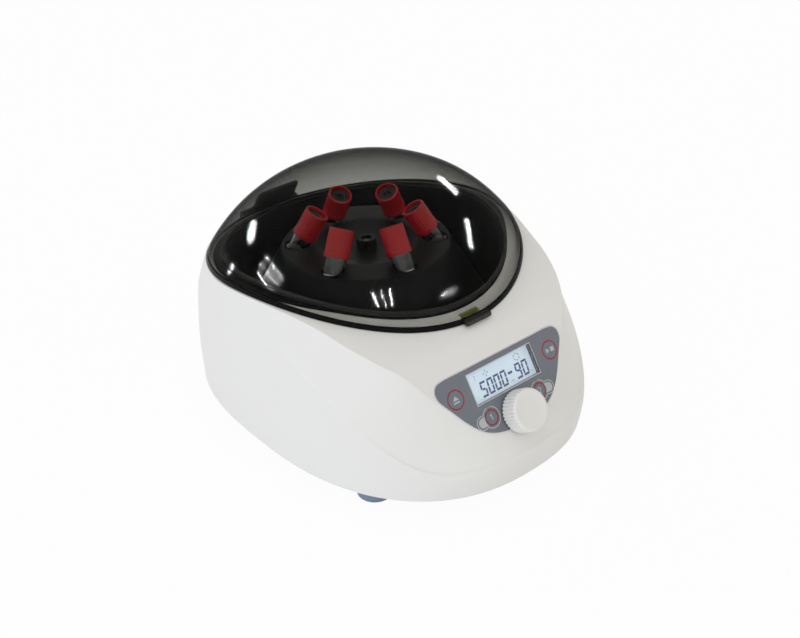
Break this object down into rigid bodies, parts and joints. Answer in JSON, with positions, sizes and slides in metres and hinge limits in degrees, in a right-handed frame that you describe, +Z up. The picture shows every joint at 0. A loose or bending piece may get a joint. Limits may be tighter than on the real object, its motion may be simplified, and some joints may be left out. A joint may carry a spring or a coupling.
{
  "type": "low-speed bench centrifuge",
  "caption": "Bench centrifuge with a domed smoky lid over a fixed-angle rotor of capped tubes, a scooped white housing and a sloped control face with keys, display and ribbed knob.",
  "frame": {"origin": "middle of the footprint on the bench, under the feet", "axes": "+Z up, -Y towards the user and the control face, +Y towards the lid hinge and the power inlet, +X to the user's right"},
  "size_m": [0.253, 0.3342, 0.2026],
  "materials": {
    "housing": "fine-textured off-white moulded plastic",
    "tray": "plain grey moulded plastic",
    "feet": "matt blue-grey rubber",
    "bowl": "satin black moulding",
    "black_rubber": "matt black rubber",
    "steel": "turned steel",
    "motor": "dark enamelled case",
    "overlay": "satin grey printed film",
    "display_window": "clear film window",
    "display": "pale backlit face",
    "circuit_board": "green board with solder mask",
    "knob": "satin off-white moulding",
    "black_plastic": "satin black moulding",
    "rocker": "glossy black moulding",
    "smoky_lid": "glossy smoke-tinted clear plastic",
    "striker": "yellow-passivated metal",
    "rotor": "satin black moulding",
    "tube_plastic": "clear moulded tube",
    "red_cap": "glossy red moulding",
    "stopper": "matt black rubber"
  },
  "bodies": {
    "housing": {"upper_housing": "housing", "base_tray": "tray", "foot_front_left": "feet", "foot_front_right": "feet", "foot_rear_left": "feet", "foot_rear_right": "feet", "rotor_bowl": "bowl", "bowl_gasket": "black_rubber", "motor_plate": "steel", "damper_1": "black_rubber", "damper_2": "black_rubber", "damper_3": "black_rubber", "motor_case": "motor", "shaft_boot": "black_rubber", "control_overlay": "overlay", "display_window": "display_window", "display_module": "display", "control_board": "circuit_board", "encoder_body": "steel", "power_board": "circuit_board", "lock_case": "black_plastic", "hinge_bracket_left": "black_plastic", "hinge_bracket_right": "black_plastic", "hinge_pin": "steel", "power_inlet": "black_plastic", "switch_frame": "black_plastic"},
    "lid": {"lid_dome": "smoky_lid", "lid_striker": "striker", "lid_hinge_arm": "black_plastic"},
    "spinner": {"motor_shaft": "steel", "rotor": "rotor", "rotor_nut": "rotor", "tube_1": "tube_plastic", "tube_2": "tube_plastic", "tube_3": "tube_plastic", "tube_4": "tube_plastic", "tube_5": "tube_plastic", "tube_6": "tube_plastic", "tube_cap_1": "red_cap", "tube_cap_2": "red_cap", "tube_cap_3": "red_cap", "tube_cap_4": "red_cap", "tube_cap_5": "red_cap", "tube_cap_6": "red_cap", "tube_stopper_1": "stopper", "tube_stopper_2": "stopper", "tube_stopper_3": "stopper", "tube_stopper_4": "stopper", "tube_stopper_5": "stopper", "tube_stopper_6": "stopper"},
    "knob_plunger": {"encoder_plunger": "steel"},
    "knob": {"encoder_shaft": "steel", "control_knob": "knob"},
    "door_button": {"door_key": "overlay"},
    "start_stop_button": {"start_stop_key": "overlay"},
    "program_1_button": {"program_1_key": "overlay"},
    "program_2_button": {"program_2_key": "overlay"},
    "bolt": {"latch_bolt": "steel"},
    "rocker": {"power_rocker": "rocker"}
  },
  "joints": [
    {"name": "lid_hinge", "type": "hinge", "parent": "housing", "child": "lid", "pos_m": [0, 0.15776, 0.12], "axis": [-1, 0, 0], "range_deg": [0, 75]},
    {"name": "rotor_spin", "type": "hinge", "parent": "housing", "child": "spinner", "pos_m": [0, 0.02176, 0.08], "axis": [0, 0, 1], "continuous": true},
    {"name": "knob_press", "type": "slide", "parent": "housing", "child": "knob_plunger", "axis": [0, 0.8393, -0.5436], "range_m": [0, 0.0005], "stiffness_N_per_m": 2000, "springref_m": -0.0005},
    {"name": "knob_turn", "type": "hinge", "parent": "knob_plunger", "child": "knob", "pos_m": [0, -0.14701, 0.05955], "axis": [0, -0.8393, 0.5436], "continuous": true},
    {"name": "door_key_press", "type": "slide", "parent": "housing", "child": "door_button", "axis": [0, 0.8393, -0.5436], "range_m": [0, 0.0004], "stiffness_N_per_m": 1500, "springref_m": -0.0004},
    {"name": "start_stop_key_press", "type": "slide", "parent": "housing", "child": "start_stop_button", "axis": [0, 0.8393, -0.5436], "range_m": [0, 0.0004], "stiffness_N_per_m": 1500, "springref_m": -0.0004},
    {"name": "program_1_key_press", "type": "slide", "parent": "housing", "child": "program_1_button", "axis": [0, 0.8393, -0.5436], "range_m": [0, 0.0004], "stiffness_N_per_m": 1500, "springref_m": -0.0004},
    {"name": "program_2_key_press", "type": "slide", "parent": "housing", "child": "program_2_button", "axis": [0, 0.8393, -0.5436], "range_m": [0, 0.0004], "stiffness_N_per_m": 1500, "springref_m": -0.0004},
    {"name": "bolt_slide", "type": "slide", "parent": "housing", "child": "bolt", "axis": [0, 1, 0], "range_m": [0, 0.005]},
    {"name": "rocker_tilt", "type": "hinge", "parent": "housing", "child": "rocker", "pos_m": [0.014, 0.16356, 0.038], "axis": [-1, 0, 0], "range_deg": [0, 20]}
  ]
}
